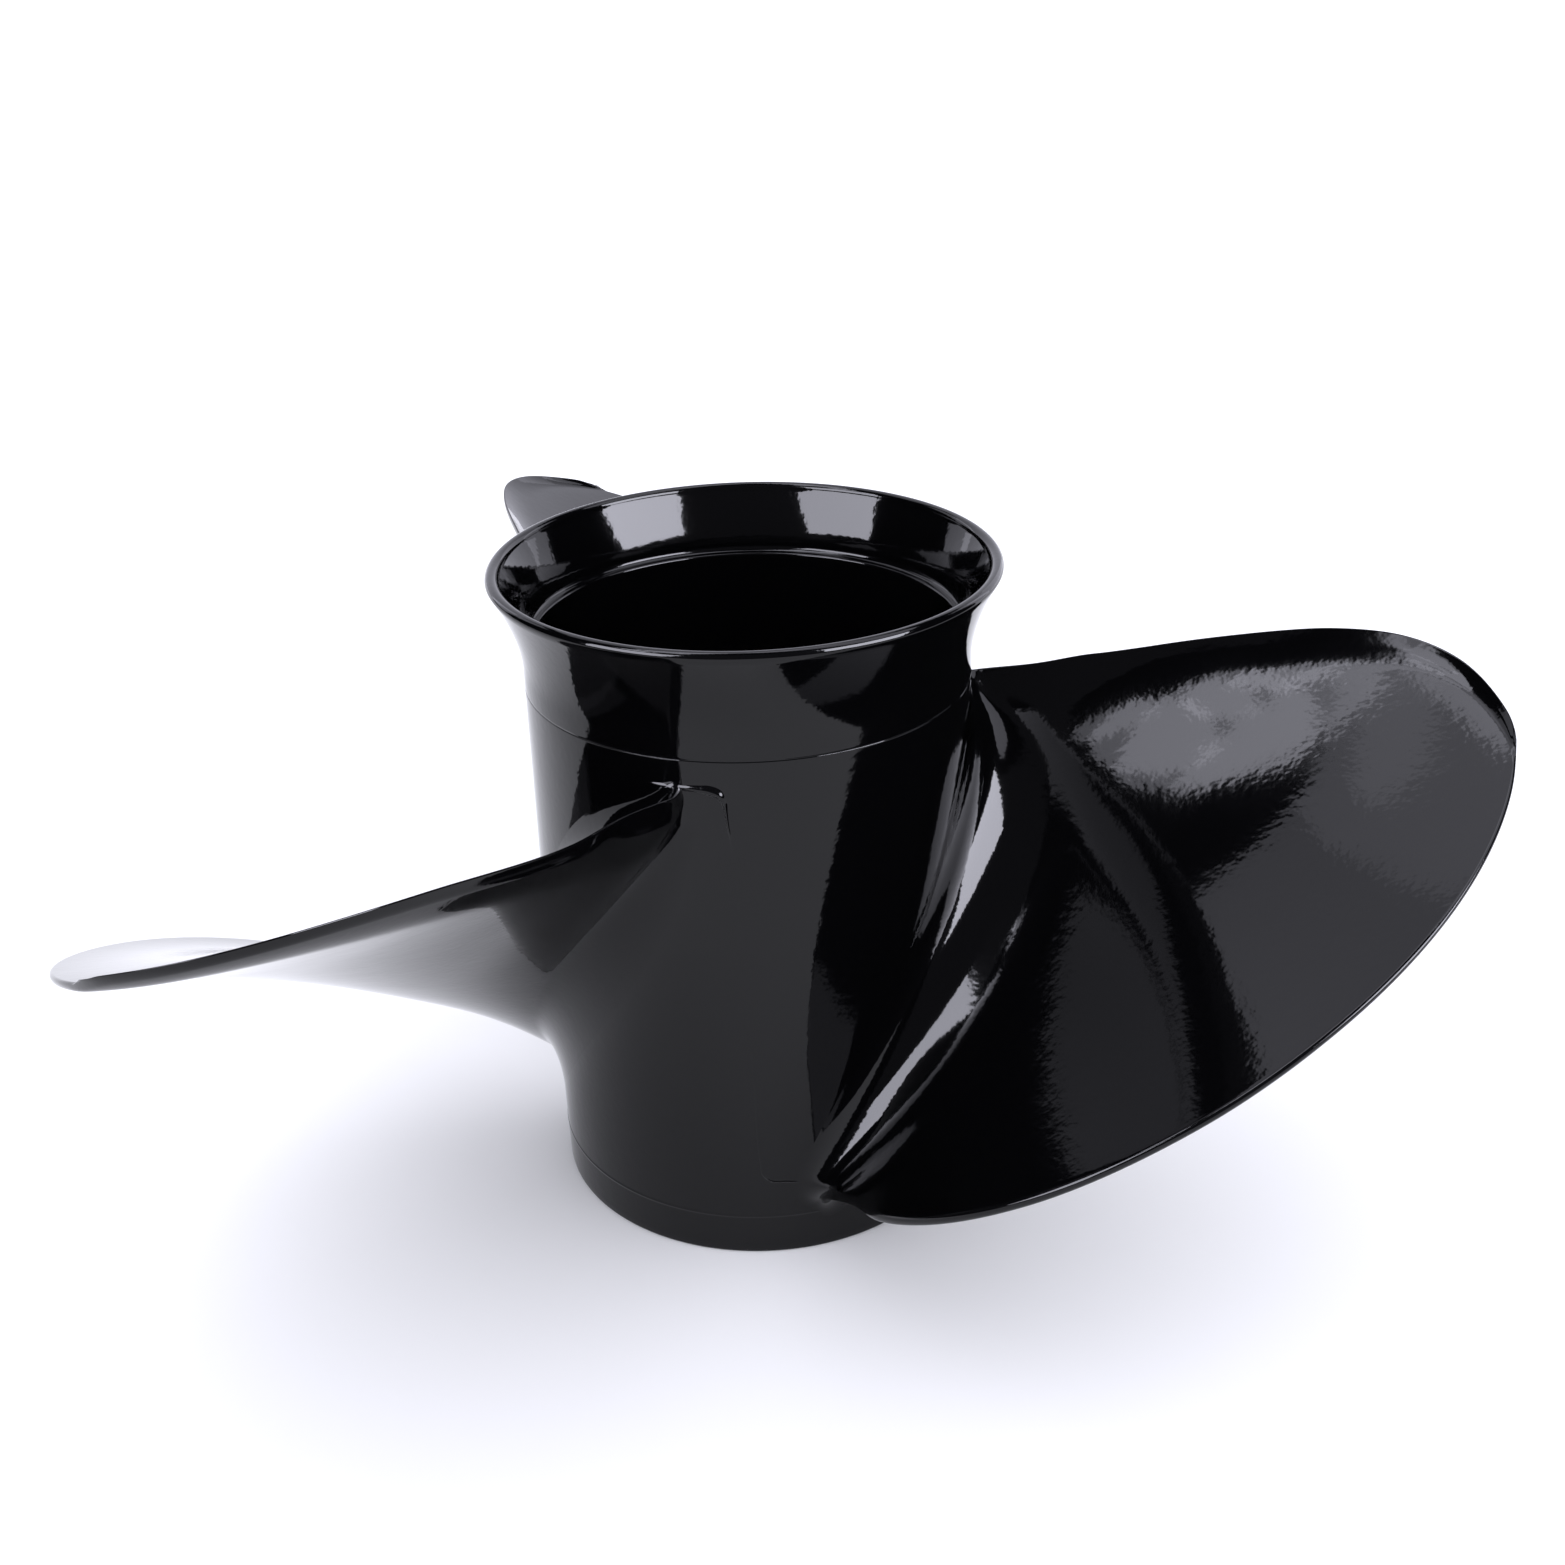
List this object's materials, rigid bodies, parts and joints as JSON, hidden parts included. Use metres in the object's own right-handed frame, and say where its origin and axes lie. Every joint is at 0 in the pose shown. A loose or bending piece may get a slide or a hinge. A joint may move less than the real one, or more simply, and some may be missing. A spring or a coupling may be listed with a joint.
{
  "type": "outboard boat propeller",
  "caption": "Through-hub outboard propeller with wide skewed blades on a flared exhaust barrel, gloss black painted casting, rubber bush and splined sleeve.",
  "frame": {"origin": "on the shaft axis, in the plane of the barrel's forward rim, which the part stands on", "axes": "+Z along the shaft axis, pointing aft towards the flared ring; right-hand blades turn clockwise seen from aft"},
  "size_m": [0.3152, 0.3032, 0.161],
  "materials": {
    "black_enamel": "gloss black enamel over die-cast aluminium",
    "rubber": "matte",
    "brass": "machined"
  },
  "bodies": {
    "root": {"barrel": "black_enamel", "flared_ring": "black_enamel", "blade_1": "black_enamel", "blade_2": "black_enamel", "blade_3": "black_enamel", "rib_1": "black_enamel", "rib_2": "black_enamel", "rib_3": "black_enamel", "inner_hub": "black_enamel", "rubber_bush": "rubber", "splined_sleeve": "brass"}
  },
  "joints": []
}
